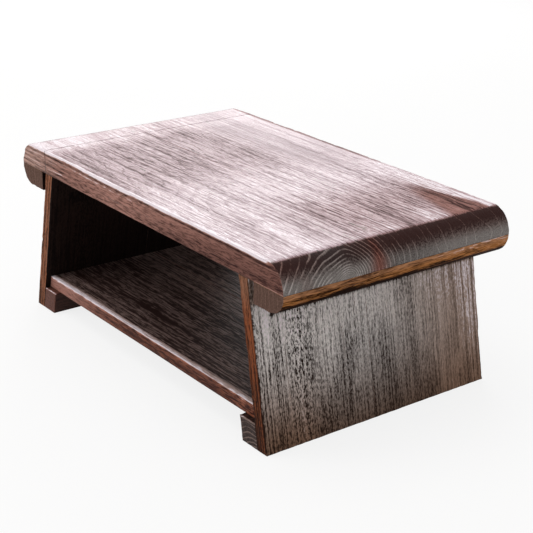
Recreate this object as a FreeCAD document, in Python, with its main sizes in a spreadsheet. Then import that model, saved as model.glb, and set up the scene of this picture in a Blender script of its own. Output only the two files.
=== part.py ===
"""Low tea table of burnt and brushed paulownia boards.

The frame: X runs along the length with the right end at +X, the front is at -Y, Z points up, and the
origin is on the floor under the middle of the top. Lengths are millimetres.
"""
import FreeCAD, Part
import os

import Sketcher

# Driving dimensions
SIZES = [
    ("table_length", 600, "over the two rounded ends of the top"),
    ("table_depth", 350, "front edge to back edge"),
    ("table_height", 240, "floor to the upper face"),
    ("top_thickness", 33, "the boards of the top"),
    ("top_front_width", 163, "front board of the top, up to the glue joint"),
    ("end_round_radius", 30, "upper half of the rounded ends"),
    ("arris_radius", 2.5, "worn long edges of the top and of the cleats"),
    ("cleat_thickness", 27, "height of an end cleat"),
    ("cleat_round_radius", 25.5, "lower half of the rounded ends"),
    ("leg_inset", 65, "end of the table to a leg's outer face, under the top"),
    ("leg_splay", 41, "foot of a leg, further out than its upper end"),
    ("cleat_gap", 4.6, "lower inner edge of a cleat to the leg beside it"),
    ("leg_thickness", 18, "leg board, square to its face"),
    ("leg_front_width", 167, "front board of a leg, up to the glue joint"),
    ("leg_arris_radius", 1.5, "upright edges of the legs"),
    ("rail_height", 32, "foot rail, floor to the shelf"),
    ("rail_width", 30, "foot rail, level width"),
    ("shelf_thickness", 17, "shelf boards"),
    ("shelf_front_width", 172, "front board of the shelf, up to the glue joint"),
    ("shelf_setback", 7.5, "shelf edge behind the legs' edges"),
    ("shelf_arris_radius", 2, "upper long edges of the shelf"),
    ("shelf_end_clearance", 0.6, "each end of the shelf to a leg, level"),
    ("shelf_rest_clearance", 0.3, "shelf over the foot rails"),
    ("fit_clearance", 0.1, "holes round dowels and screws"),
    ("dowel_diameter", 8, "beech dowels"),
    ("leg_dowel_depth", 20, "leg dowel in the leg"),
    ("top_dowel_depth", 16, "leg dowel in the top"),
    ("dowel_edge_distance", 32, "leg dowel to the edge of its leg board"),
    ("end_dowel_length", 50, "dowel across the butt joint of the left end"),
    ("end_dowel_offset", 28, "end dowel to the leg dowel beside it"),
    ("screw_diameter", 4.5, "wood screw shank"),
    ("screw_length", 40, "wood screw, head to point"),
    ("screw_head_diameter", 9, "countersunk head"),
    ("screw_head_height", 3, "countersunk head"),
    ("screw_point_length", 6, "tapered point"),
    ("screw_point_diameter", 1.2, "blunt end of the point"),
    ("screw_sink", 1, "head below the face of the wood"),
    ("cleat_screw_inset", 32, "cleat screw to the end of the table"),
    ("screw_edge_distance", 40, "outer screws to the long edges of the table"),
    ("screw_spacing", 75, "outer screw to the next one"),
    ("overrun", 1, "past a face, for clean cuts"),
]

doc = FreeCAD.newDocument("tea_table")
sheet = doc.addObject("Spreadsheet::Sheet", "sizes")
for row, (alias, value, note) in enumerate(SIZES, 1):
    sheet.set(f"A{row}", alias)
    sheet.set(f"B{row}", str(value))
    sheet.setAlias(f"B{row}", alias)
    sheet.set(f"C{row}", note)
doc.recompute()

# Derived places, as expressions on the driving dimensions
HALF_LENGTH = "sizes.table_length / 2"
HALF_DEPTH = "sizes.table_depth / 2"
UNDERSIDE = "(sizes.table_height - sizes.top_thickness)"
CLEAT_BOTTOM = f"({UNDERSIDE} - sizes.cleat_thickness)"
TOP_JOINT = f"(sizes.top_front_width - {HALF_DEPTH})"
LEG_JOINT = f"(sizes.leg_front_width - {HALF_DEPTH})"
SHELF_EDGE = f"({HALF_DEPTH} - sizes.shelf_setback)"
SHELF_JOINT = f"(sizes.shelf_front_width - {SHELF_EDGE})"
SHELF_BOTTOM = "(sizes.rail_height + sizes.shelf_rest_clearance)"
SHELF_TOP = f"({SHELF_BOTTOM} + sizes.shelf_thickness)"
LEG_REACH = f"({HALF_LENGTH} - sizes.leg_inset)"
FOOT_REACH = f"({LEG_REACH} + sizes.leg_splay)"
LEAN = f"(sizes.leg_splay / {UNDERSIDE})"
LEAN_ANGLE = f"atan({LEAN})"
LEG_LEVEL_THICKNESS = f"(sizes.leg_thickness * sqrt(1 + {LEAN} ^ 2))"
LEG_DOWEL_X = f"({LEG_REACH} - {LEG_LEVEL_THICKNESS} / 2 + {LEAN} * sizes.leg_dowel_depth / 2)"
LEG_DOWEL_BOTTOM = f"({UNDERSIDE} - sizes.leg_dowel_depth)"
END_DOWEL_Z = f"({UNDERSIDE} + sizes.top_thickness / 2)"
SCREW_ROWS = [
    f"({HALF_DEPTH} - sizes.screw_edge_distance)",
    f"({HALF_DEPTH} - sizes.screw_edge_distance - sizes.screw_spacing)",
    f"-({HALF_DEPTH} - sizes.screw_edge_distance - sizes.screw_spacing)",
    f"-({HALF_DEPTH} - sizes.screw_edge_distance)",
]
LEG_DOWEL_ROWS = [
    f"(sizes.dowel_edge_distance - {HALF_DEPTH})",
    f"({LEG_JOINT} - sizes.dowel_edge_distance)",
    f"({LEG_JOINT} + sizes.dowel_edge_distance)",
    f"({HALF_DEPTH} - sizes.dowel_edge_distance)",
]
SIDES = {"left": -1, "right": 1}
TOUCH = 1e-4
# A turn that is not zero, so that its axis is kept until the angle is bound
ABOUT_Y = FreeCAD.Rotation(FreeCAD.Vector(0, 1, 0), 1)


def number(expression):
    """Value of an expression on the sheet."""
    return float(sheet.evalExpression(expression))


def leg_outer_x(height):
    """Level distance of a leg's outer face from the middle at a height, as an expression."""
    return f"({FOOT_REACH} - {LEAN} * {height})"


def leg_inner_x(height):
    """Level distance of a leg's inner face from the middle at a height, as an expression."""
    return f"({leg_outer_x(height)} - {LEG_LEVEL_THICKNESS})"


def bind(target, **expressions):
    """Bind properties to expressions; two underscores stand for a dot."""
    for key, expression in expressions.items():
        target.setExpression(key.replace("__", "."), expression)


def board(name, corners, front_y, width):
    """A board: an outline of (x, z) corners drawn at front_y and padded towards the back by width."""
    body = doc.addObject("PartDesign::Body", name)
    sketch = body.newObject("Sketcher::SketchObject", name + "_outline")
    plane = next(item for item in body.Origin.OriginFeatures if item.Role == "XZ_Plane")
    sketch.AttachmentSupport = (plane, "")
    sketch.MapMode = "FlatFace"
    bind(sketch, AttachmentOffset__Base__z=f"-({front_y})")
    places = [FreeCAD.Vector(number(x), number(z), 0) for x, z in corners]
    count = len(corners)
    for index in range(count):
        sketch.addGeometry(Part.LineSegment(places[index], places[(index + 1) % count]))
    for index in range(count):
        sketch.addConstraint(Sketcher.Constraint("Coincident", index, 2, (index + 1) % count, 1))
    for index, (x, z) in enumerate(corners):
        for kind, value, start in (("DistanceX", x, places[index].x), ("DistanceY", z, places[index].y)):
            row = sketch.addConstraint(Sketcher.Constraint(kind, -1, 1, index, 1, start))
            label = f"corner_{index}_{kind}"
            sketch.renameConstraint(row, label)
            sketch.setExpression("Constraints." + label, value)
    pad = body.newObject("PartDesign::Pad", name + "_pad")
    pad.Profile = sketch
    pad.Reversed = True
    bind(pad, Length=width)
    doc.recompute()
    return body


def round_edges(body, radius, chosen):
    """Fillet the edges of a body's last feature for which chosen(edge) is true."""
    base = body.Tip
    names = [f"Edge{row}" for row, edge in enumerate(base.Shape.Edges, 1) if chosen(edge)]
    fillet = body.newObject("PartDesign::Fillet", f"{base.Name}_round")
    fillet.Base = (base, names)
    bind(fillet, Radius=radius)
    doc.recompute()


def on(edge, axis, place):
    """True where both ends and the middle of an edge lie at a place along an axis."""
    middle = edge.valueAt((edge.FirstParameter + edge.LastParameter) / 2)
    points = [vertex.Point for vertex in edge.Vertexes] + [middle]
    return all(abs(getattr(point, axis) - place) < TOUCH for point in points)


def cut(name, blank, holes):
    """A sub-part: a blank with its holes, under the name of the sub-part."""
    blank.Label = name + "_blank"
    result = doc.addObject("Part::Cut", name)
    result.Base = blank
    result.Tool = holes
    result.Label = name
    return result


def keep(name, body):
    """A sub-part that has no holes."""
    body.Label = name
    return body


def group(name, members):
    """Several solids under one name."""
    result = doc.addObject("Part::Compound", name)
    result.Links = members
    return result


def place(item, x, y, z, angle):
    """Stand an item that is drawn along +Z at a point, turned about Y."""
    item.Placement.Rotation = ABOUT_Y
    bind(item, Placement__Base__x=x, Placement__Base__y=y, Placement__Base__z=z)
    bind(item, Placement__Rotation__Angle=angle)


def dowel(name, seat, depth, grow):
    """A plain dowel, or with grow its hole, which is longer at both ends by overrun."""
    rod = doc.addObject("Part::Cylinder", name)
    bind(rod, Radius=f"sizes.dowel_diameter / 2 + {grow}", Height=depth)
    place(rod, *seat)
    return rod


def screw(name, seat, grow, mouth):
    """A countersunk wood screw, or with grow and mouth its hole, drawn up from the head."""
    head = doc.addObject("Part::Cone", name + "_head")
    bind(head, Radius1=f"sizes.screw_head_diameter / 2 + {grow}", Height="sizes.screw_head_height")
    bind(head, Radius2=f"sizes.screw_diameter / 2 + {grow}")
    shank = doc.addObject("Part::Cylinder", name + "_shank")
    bind(shank, Radius=f"sizes.screw_diameter / 2 + {grow}", Placement__Base__z="sizes.screw_head_height")
    bind(shank, Height="sizes.screw_length - sizes.screw_head_height - sizes.screw_point_length")
    point = doc.addObject("Part::Cone", name + "_point")
    bind(point, Radius1=f"sizes.screw_diameter / 2 + {grow}", Height="sizes.screw_point_length")
    bind(point, Radius2=f"sizes.screw_point_diameter / 2 + {grow}")
    bind(point, Placement__Base__z="sizes.screw_length - sizes.screw_point_length")
    members = [head, shank, point]
    if mouth:
        bore = doc.addObject("Part::Cylinder", name + "_mouth")
        bind(bore, Radius=f"sizes.screw_head_diameter / 2 + {grow}", Height=mouth)
        bind(bore, Placement__Base__z=f"-({mouth})")
        members.append(bore)
    solid = doc.addObject("Part::MultiFuse", name)
    solid.Shapes = members
    solid.Refine = True
    place(solid, *seat)
    return solid


def screws(name, seats, mouth):
    """A group of screws and the group of their holes."""
    solids = [screw(f"{name}_{row}", seat, "0", "") for row, seat in enumerate(seats, 1)]
    wider = "sizes.fit_clearance"
    holes = [screw(f"{name}_hole_{row}", seat, wider, mouth) for row, seat in enumerate(seats, 1)]
    return group(name, solids), group(name + "_holes", holes)


def leg_dowels(side, sign):
    """Dowels that stand upright in the top of a leg, and their holes."""
    length = "sizes.leg_dowel_depth + sizes.top_dowel_depth"
    name = f"{side}_leg_dowels"
    solids = []
    holes = []
    for row, y in enumerate(LEG_DOWEL_ROWS, 1):
        seat = (f"{sign} * {LEG_DOWEL_X}", y, LEG_DOWEL_BOTTOM, "0")
        solids.append(dowel(f"{name}_{row}", seat, length, "0"))
        deep = (seat[0], y, f"{LEG_DOWEL_BOTTOM} - sizes.overrun", "0")
        hole_length = f"{length} + 2 * sizes.overrun"
        holes.append(dowel(f"{name}_hole_{row}", deep, hole_length, "sizes.fit_clearance"))
    return group(name, solids), group(name + "_holes", holes)


def end_dowels():
    """Dowels that lie along the table across the butt joint of the left end board, and their holes."""
    rows = [
        f"{LEG_DOWEL_ROWS[0]} + sizes.end_dowel_offset",
        f"{LEG_DOWEL_ROWS[1]} - sizes.end_dowel_offset",
        f"{LEG_DOWEL_ROWS[2]} + sizes.end_dowel_offset",
        f"{LEG_DOWEL_ROWS[3]} - sizes.end_dowel_offset",
    ]
    start = f"-({LEG_REACH} + sizes.end_dowel_length / 2)"
    solids = []
    holes = []
    for row, y in enumerate(rows, 1):
        seat = (start, y, END_DOWEL_Z, "90")
        solids.append(dowel(f"end_board_dowels_{row}", seat, "sizes.end_dowel_length", "0"))
        deep = (f"{start} - sizes.overrun", y, END_DOWEL_Z, "90")
        length = "sizes.end_dowel_length + 2 * sizes.overrun"
        holes.append(dowel(f"end_board_dowels_hole_{row}", deep, length, "sizes.fit_clearance"))
    return group("end_board_dowels", solids), group("end_board_dowels_holes", holes)


def cleat_screws(side, sign):
    """Screws that go straight up through a cleat into the top."""
    x = f"{sign} * ({HALF_LENGTH} - sizes.cleat_screw_inset)"
    seats = [(x, y, f"{CLEAT_BOTTOM} + sizes.screw_sink", "0") for y in SCREW_ROWS]
    return screws(f"{side}_cleat_screws", seats, "sizes.screw_sink + sizes.overrun")


def rail_screws(side, sign):
    """Screws that go square through a foot rail into the leg, half way up the rail."""
    height = "(sizes.rail_height / 2)"
    face = f"({leg_inner_x(height)} - sizes.rail_width)"
    x = f"{sign} * ({face} + sizes.screw_sink * cos({LEAN_ANGLE}))"
    z = f"{height} + sizes.screw_sink * sin({LEAN_ANGLE})"
    seats = [(x, y, z, f"{sign} * (90 deg - {LEAN_ANGLE})") for y in SCREW_ROWS]
    return screws(f"{side}_rail_screws", seats, "sizes.screw_sink + sizes.overrun")


def top_blank(name, x_start, x_end, front_y, width, outer_faces):
    """A board of the top, its outer end rounded, with worn arrises on its outer long faces."""
    corners = [(x_start, UNDERSIDE), (x_end, UNDERSIDE)]
    corners += [(x_end, "sizes.table_height"), (x_start, "sizes.table_height")]
    body = board(name, corners, front_y, width)
    end = number(HALF_LENGTH) if number(x_end) > 0 else -number(HALF_LENGTH)
    top = number("sizes.table_height")
    bottom = number(UNDERSIDE)
    joint = -number(LEG_REACH)
    wall = "min(sizes.top_thickness; sizes.leg_inset)"
    limit = f"min(sizes.end_round_radius; {wall} - sizes.arris_radius / 2)"
    round_edges(body, limit, lambda edge: on(edge, "x", end) and on(edge, "z", top))

    def worn(edge):
        outer = any(on(edge, "y", number(face)) for face in outer_faces)
        return outer and not on(edge, "z", bottom) and not on(edge, "x", joint)

    round_edges(body, "sizes.arris_radius", worn)
    return body


def cleat_blank(side, sign):
    """An end cleat whose lower outer corner finishes the rounded end."""
    outer = f"{sign} * {HALF_LENGTH}"
    inner = f"{sign} * ({leg_outer_x(CLEAT_BOTTOM)} + sizes.cleat_gap)"
    corners = [(inner, CLEAT_BOTTOM), (outer, CLEAT_BOTTOM), (outer, UNDERSIDE), (inner, UNDERSIDE)]
    body = board(f"{side}_end_cleat_body", corners, f"-{HALF_DEPTH}", "sizes.table_depth")
    end = number(outer)
    bottom = number(CLEAT_BOTTOM)
    top = number(UNDERSIDE)
    back = number(inner)
    limit = "min(sizes.cleat_round_radius; sizes.cleat_thickness - sizes.arris_radius / 2)"
    round_edges(body, limit, lambda edge: on(edge, "x", end) and on(edge, "z", bottom))

    def worn(edge):
        outline = on(edge, "y", number(HALF_DEPTH)) or on(edge, "y", -number(HALF_DEPTH))
        return outline and not on(edge, "z", top) and not on(edge, "x", back)

    round_edges(body, "sizes.arris_radius", worn)
    return body


def leg_blank(side, sign, part, front_y, width, outer_face):
    """One of the two boards of a leaning leg, cut level at the floor and under the top."""
    corners = [
        (f"{sign} * {leg_outer_x('0')}", "0"),
        (f"{sign} * {leg_outer_x(UNDERSIDE)}", UNDERSIDE),
        (f"{sign} * {leg_inner_x(UNDERSIDE)}", UNDERSIDE),
        (f"{sign} * {leg_inner_x('0')}", "0"),
    ]
    body = board(f"{side}_leg_{part}_body", corners, front_y, width)
    top = number(UNDERSIDE)

    def upright(edge):
        return on(edge, "y", number(outer_face)) and not on(edge, "z", 0) and not on(edge, "z", top)

    round_edges(body, "sizes.leg_arris_radius", upright)
    return body


def rail_blank(side, sign):
    """A foot rail with slanted sides, against the inner face of the leg."""
    corners = [
        (f"{sign} * {leg_inner_x('0')}", "0"),
        (f"{sign} * {leg_inner_x('sizes.rail_height')}", "sizes.rail_height"),
        (f"{sign} * ({leg_inner_x('sizes.rail_height')} - sizes.rail_width)", "sizes.rail_height"),
        (f"{sign} * ({leg_inner_x('0')} - sizes.rail_width)", "0"),
    ]
    body = board(f"{side}_foot_rail_body", corners, f"-{HALF_DEPTH}", "sizes.table_depth")
    top = number("sizes.rail_height")
    back = number(f"{leg_inner_x('sizes.rail_height')}")

    def worn(edge):
        outline = on(edge, "y", number(HALF_DEPTH)) or on(edge, "y", -number(HALF_DEPTH))
        inner = on(edge, "z", top) and not on(edge, "x", sign * back)
        return (outline and on(edge, "z", top)) or (inner and not outline)

    round_edges(body, "sizes.leg_arris_radius", worn)
    return body


def shelf_blank(name, front_y, width, outer_face):
    """A board of the shelf, its ends bevelled to clear the leaning legs."""
    low = f"({leg_inner_x(SHELF_BOTTOM)} - sizes.shelf_end_clearance)"
    high = f"({leg_inner_x(SHELF_TOP)} - sizes.shelf_end_clearance)"
    corners = [(f"-{low}", SHELF_BOTTOM), (low, SHELF_BOTTOM), (high, SHELF_TOP), (f"-{high}", SHELF_TOP)]
    body = board(name, corners, front_y, width)
    top = number(SHELF_TOP)
    face = number(outer_face)
    round_edges(body, "sizes.shelf_arris_radius", lambda edge: on(edge, "z", top) and on(edge, "y", face))
    return body


# Fasteners and their holes
fasteners = []
holes = {}
for side, sign in SIDES.items():
    for kind, made in (
        ("leg", leg_dowels(side, sign)),
        ("cleat", cleat_screws(side, sign)),
        ("rail", rail_screws(side, sign)),
    ):
        fasteners.append(made[0])
        holes[side, kind] = made[1]
crossing_dowels, crossing_holes = end_dowels()
fasteners.append(crossing_dowels)

# Top
seam = f"-{LEG_REACH}"
front = f"-{HALF_DEPTH}"
rear = HALF_DEPTH
rear_width = "sizes.table_depth - sizes.top_front_width"
leg_holes_above = [holes["left", "leg"], holes["right", "leg"]]
top_holes = group("top_holes", leg_holes_above + [holes["right", "cleat"], crossing_holes])
left_holes = group("left_end_holes", [holes["left", "cleat"], crossing_holes])
front_blank = top_blank("top_front_body", seam, HALF_LENGTH, front, "sizes.top_front_width", [front])
rear_blank = top_blank("top_rear_body", seam, HALF_LENGTH, TOP_JOINT, rear_width, [rear])
end_blank = top_blank("left_end_body", seam, f"-{HALF_LENGTH}", front, "sizes.table_depth", [front, rear])
parts = [
    cut("top_front_board", front_blank, top_holes),
    cut("top_rear_board", rear_blank, top_holes),
    cut("left_end_board", end_blank, left_holes),
]

# Cleats, legs and foot rails
for side, sign in SIDES.items():
    leg_holes = group(f"{side}_leg_holes", [holes[side, "leg"], holes[side, "rail"]])
    leg_rear_width = "sizes.table_depth - sizes.leg_front_width"
    parts.append(cut(f"{side}_end_cleat", cleat_blank(side, sign), holes[side, "cleat"]))
    leg_front = leg_blank(side, sign, "front", front, "sizes.leg_front_width", front)
    parts.append(cut(f"{side}_leg_front_board", leg_front, leg_holes))
    leg_rear = leg_blank(side, sign, "rear", LEG_JOINT, leg_rear_width, rear)
    parts.append(cut(f"{side}_leg_rear_board", leg_rear, leg_holes))
    parts.append(cut(f"{side}_foot_rail", rail_blank(side, sign), holes[side, "rail"]))

# Shelf
shelf_rear_width = f"2 * {SHELF_EDGE} - sizes.shelf_front_width"
shelf_front = shelf_blank("shelf_front_board", f"-{SHELF_EDGE}", "sizes.shelf_front_width", f"-{SHELF_EDGE}")
shelf_rear = shelf_blank("shelf_rear_board", SHELF_JOINT, shelf_rear_width, SHELF_EDGE)
parts.append(keep("shelf_front_board", shelf_front))
parts.append(keep("shelf_rear_board", shelf_rear))
parts.extend(fasteners)
doc.recompute()

# Checks, then one file per sub-part
for item in doc.Objects:
    if "Invalid" in item.State or "Error" in item.State:
        raise RuntimeError(f"{item.Label} failed to build: {item.State}")
for item in parts:
    if item.Shape.isNull() or not item.Shape.isValid():
        raise RuntimeError(f"{item.Label} has no valid shape")
os.makedirs("parts", exist_ok=True)
for item in parts:
    item.Shape.exportStep(f"parts/{item.Label}.step")
    print(item.Label, len(item.Shape.Solids), "solids", round(item.Shape.Volume), "cubic millimetres")
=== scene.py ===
import math

import bpy
import numpy as np
from mathutils import Matrix, Vector


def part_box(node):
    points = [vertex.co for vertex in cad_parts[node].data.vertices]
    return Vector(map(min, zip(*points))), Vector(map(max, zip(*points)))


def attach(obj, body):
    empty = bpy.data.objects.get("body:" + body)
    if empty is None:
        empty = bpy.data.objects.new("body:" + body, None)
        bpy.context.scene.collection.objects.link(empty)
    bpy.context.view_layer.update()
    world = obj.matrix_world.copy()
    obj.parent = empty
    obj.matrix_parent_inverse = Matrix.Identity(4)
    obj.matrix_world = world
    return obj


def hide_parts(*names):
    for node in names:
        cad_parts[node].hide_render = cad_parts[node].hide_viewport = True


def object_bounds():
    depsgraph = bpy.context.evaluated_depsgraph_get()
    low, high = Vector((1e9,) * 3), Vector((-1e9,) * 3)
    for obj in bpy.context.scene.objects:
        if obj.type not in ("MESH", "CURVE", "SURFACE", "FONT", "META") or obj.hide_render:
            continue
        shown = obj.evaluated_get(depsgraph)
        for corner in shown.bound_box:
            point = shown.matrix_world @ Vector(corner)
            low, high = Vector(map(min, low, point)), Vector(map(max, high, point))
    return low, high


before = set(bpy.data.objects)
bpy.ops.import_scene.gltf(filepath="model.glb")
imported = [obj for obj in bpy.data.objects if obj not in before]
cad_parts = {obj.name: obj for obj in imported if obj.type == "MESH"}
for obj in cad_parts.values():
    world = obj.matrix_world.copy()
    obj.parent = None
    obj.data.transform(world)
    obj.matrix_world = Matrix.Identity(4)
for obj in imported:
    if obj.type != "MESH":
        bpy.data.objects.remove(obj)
cad_low, cad_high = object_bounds()

MM = 0.001

# Worn edges and joints of the boards
TOP_ARRIS = 1.8 * MM
CLEAT_ARRIS = 1.4 * MM
LEG_ARRIS = 1.6 * MM
SHELF_ARRIS = 2.0 * MM
RAIL_ARRIS = 1.6 * MM
JOINT_ARRIS = 0.45 * MM
JOINT_REACH = 12 * MM
TOP_ROUND = 30 * MM
CLEAT_ROUND = 25.5 * MM

# Mesh spacing: the steps in the middle of a board, and its places beside an edge, in widths of that edge
LONG_STEP = 2.6 * MM
ACROSS_STEP = 1.5 * MM
EDGE_PLACES = np.array([0, 0.25, 0.5, 0.75, 1.0, 1.4, 2.0, 3.0])

# Relief of the brushed faces, measured inwards
RING_RELIEF = 0.16 * MM
WAVE_RELIEF = 0.10 * MM
CHIP_RELIEF = 0.9 * MM

# Growth rings: they stand close near the pith and wide apart far from it
RING_RATE = 11.8
RING_START = 14.3 * MM
RING_FIRST = 2

# Late wood: the distance before a ring's end over which its line rises, and behind it over which it falls
LATE_WOOD_RISE = (0.1 * MM, 1.5 * MM)
LATE_WOOD_FALL = (0.0, 0.4 * MM)

# Noise in the wood, in features a metre along the grain and in the two directions across it
RING_TREMBLE = (22, 170, 170)
RING_BREAKS = (9, 60, 60)
FIBRE_SWAY = (26, 90, 90)
COLOUR_BANDS = (3, 45, 45)

# Middles of the logs that the boards come from
REAR_PITH_Y = -83 * MM
REAR_PITH_Z = 204 * MM
CLEAT_PITH_X = 205 * MM
CLEAT_PITH_Z = 193 * MM
LEG_PITH_X = 150 * MM
LEG_PITH_Y = 60 * MM
RAIL_PITH_X = 215 * MM
RAIL_PITH_Z = -30 * MM
SHELF_FRONT_PITH_Y = -110 * MM
SHELF_REAR_PITH_Y = 90 * MM
SHELF_PITH_Z = -10 * MM

# Places that the paint of the top follows, in millimetres: the left end board's joint, the painted shadow
# line and the pale ridge under the arris, the pale seam low on the edge, and the front border of the pale
# strip
BUTT_JOINT_X = -235
SHADOW_LINE_Z = 234
RIDGE_Z = 231
SEAM_Z = 207.6
STRIP_X = (140, 180, 220, 260)
STRIP_Y = (137, 149, 153, 160)

# How pale the long edges of the top are, at places along them in millimetres
EDGE_X = (-290, -190, -60, 60, 200, 290)
EDGE_PALE = (0.72, 0.58, 0.66, 0.42, 0.14, 0.20)
# How pale the painted highlight on the front arris of the top is
ARRIS_HIGHLIGHT_PALE = 1.9

# Seeds of the random fields
EDGE_SEEDS = (5, 6)
RING_SEEDS = (11, 12)
WEAR_SEED = 21
WAVE_SEED = 3
CHIP_SEED = 8
SWAY_SEED = 31
RAGGED_SEED = 41
CLOUD_SEED = 2506

# Sides of a board, as an axis and its lower or upper end
LEFT, RIGHT = (0, 0), (0, 1)
FRONT, BACK = (1, 0), (1, 1)
BOTTOM, TOP = (2, 0), (2, 1)

# Axes along, across and through the grain
TOP_AXES = [0, 1, 2]
CLEAT_AXES = [1, 0, 2]
LEG_AXES = [2, 1, 0]

# The two axes whose common edge is rolled at the ends of the top
ROLLED = (0, 2)

# Smallest divisors
TINY_LENGTH = 1e-9
TINY_AREA = 1e-12

# Sockets of a Mix node that mixes colours
MIX_SHARE, MIX_FIRST, MIX_SECOND = 0, 6, 7

# Camera: angles in degrees, lens and sensor in millimetres, place in metres
CAMERA_YAW = 52.609
CAMERA_PITCH = 21.463
CAMERA_ROLL = 0.990
CAMERA_LENS = 90.02
CAMERA_SENSOR = 36
CAMERA_PLACE = (1.3417, -0.9949, 0.7636)

# Light and floor: metres and watts, and the share of plain white that the camera sees in the floor
FLOOR_REACH = 30
FLOOR_WHITE = 0.82
WORLD_LIGHT = 0.62
LAMPS = (
    {"name": "overhead_softbox", "place": (-0.4, -0.3, 2.2), "target": (0, 0, 0.2), "size": 1.6, "power": 14},
    {"name": "front_softbox", "place": (-1.3, -1.9, 1.1), "target": (0, 0, 0.15), "size": 1.2, "power": 14},
    {"name": "back_softbox", "place": (-2.3, 1.7, 1.2), "target": (0, -0.1, 0.24), "size": 1.3, "power": 22},
)


def srgb(red, green, blue):
    """A colour written in screen values from 0 to 255, as the linear colour that a shader takes."""
    share = np.array([red, green, blue]) / 255
    linear = np.where(share <= 0.04045, share / 12.92, ((share + 0.055) / 1.055) ** 2.4)
    return (*map(float, linear), 1.0)


def ramp(value, low, high):
    """Smooth step from 0 at low to 1 at high."""
    share = np.clip((value - low) / (high - low), 0, 1)
    return share * share * (3 - 2 * share)


def bell(value, middle, width):
    """A smooth bump of height 1: e to the minus square of the distance from the middle over the width."""
    return np.exp(-((value - middle) / width) ** 2)


def mix(share, first, second):
    """The first value at share 0, the second at share 1, and in proportion between."""
    return first * (1 - share) + second * share


def ripple(points, wavelength, seed, waves=12):
    """A smooth random field around 0: a sum of sine waves with seeded directions, lengths and phases."""
    rng = np.random.default_rng(seed)
    direction = rng.normal(size=(waves, 3))
    direction /= np.linalg.norm(direction, axis=1, keepdims=True)
    pace = 2 * np.pi / (wavelength * rng.uniform(0.7, 1.7, waves))
    phase = rng.uniform(0, 2 * np.pi, waves)
    return np.sin(points @ (direction * pace[:, None]).T + phase).sum(1) / math.sqrt(waves)


# Board shapes

def marks(low, high, step, fine_low, fine_high):
    """Places along one side of a board: close together beside each end, evenly spaced between."""
    start = low + fine_low * EDGE_PLACES
    end = high - fine_high * EDGE_PLACES
    count = max(2, round((end[-1] - start[-1]) / step))
    middle = np.linspace(start[-1], end[-1], count + 1)
    return np.concatenate([start[:-1], middle, end[-2::-1]])


def lattice(xs, ys, zs):
    """The surface of a box as quads facing out, with one vertex for every lattice place on the surface."""
    counts = (len(xs), len(ys), len(zs))
    quads = []
    for axis in range(3):
        first, second = (axis + 1) % 3, (axis + 2) % 3
        a, b = np.meshgrid(np.arange(counts[first]), np.arange(counts[second]), indexing="ij")
        for level in (0, counts[axis] - 1):
            index = [None, None, None]
            index[first], index[second], index[axis] = a, b, np.full_like(a, level)
            key = index[0] + counts[0] * (index[1] + counts[1] * index[2])
            quad = np.stack([key[:-1, :-1], key[1:, :-1], key[1:, 1:], key[:-1, 1:]], -1).reshape(-1, 4)
            quads.append(quad if level else quad[:, ::-1])
    keys, faces = np.unique(np.concatenate(quads), return_inverse=True)
    x = xs[keys % counts[0]]
    y = ys[keys // counts[0] % counts[1]]
    z = zs[keys // (counts[0] * counts[1])]
    return np.stack([x, y, z], -1), faces.reshape(-1, 4)


def ease(points, low, high, arris, joints, square):
    """Round the edges of a box: each point moves to one arris radius from the box shrunk by that radius. The
    offsets along the two square axes count as their larger one, which leaves the edge between them sharp.
    The radius wanders by a third or so, as wear does, and closes to a hairline beside the glue joints."""
    wide, fine = EDGE_SEEDS
    radius = arris * (1 + 0.3 * ripple(points, 38 * MM, wide) + 0.25 * ripple(points, 11 * MM, fine))
    for axis, side in joints:
        level = (low, high)[side][axis]
        away = np.clip(np.abs(points[:, axis] - level) / JOINT_REACH, 0, 1)
        radius = np.minimum(radius, JOINT_ARRIS + (radius - JOINT_ARRIS) * away)
    radius = np.clip(radius, 0.6 * JOINT_ARRIS, 1.5 * arris)[:, None]
    core = np.clip(points, low + radius, high - radius)
    offset = points - core
    parts = offset ** 2
    if square:
        first, second = square
        parts[:, first] = np.maximum(parts[:, first], parts[:, second])
        parts[:, second] = 0
    length = np.sqrt(parts.sum(1, keepdims=True))
    return core + offset * radius / np.maximum(length, TINY_LENGTH)


def roll(points, x, z, side, up):
    """Turn the square corner beyond the line (x, z) into a quarter round: the larger of a point's two offsets
    from the line becomes its distance, in the same direction."""
    a = np.maximum((points[:, 0] - x) * side, 0)
    b = np.maximum((points[:, 2] - z) * up, 0)
    both = (a > 0) & (b > 0)
    share = np.where(both, np.maximum(a, b) / np.maximum(np.hypot(a, b), TINY_LENGTH), 1)
    rolled = points.copy()
    rolled[:, 0] = np.where(both, x + side * a * share, points[:, 0])
    rolled[:, 2] = np.where(both, z + up * b * share, points[:, 2])
    return rolled


def top_bend(points):
    """Both ends of the top are rounded upwards."""
    for side in (-1, 1):
        points = roll(points, side * (cad_high[0] - TOP_ROUND), cad_high[2] - TOP_ROUND, side, 1)
    return points


def cleat_bend(points):
    """The cleats finish the rounded ends downwards."""
    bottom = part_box("left_end_cleat")[0][2]
    for side in (-1, 1):
        points = roll(points, side * (cad_high[0] - CLEAT_ROUND), bottom + CLEAT_ROUND, side, -1)
    return points


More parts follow.
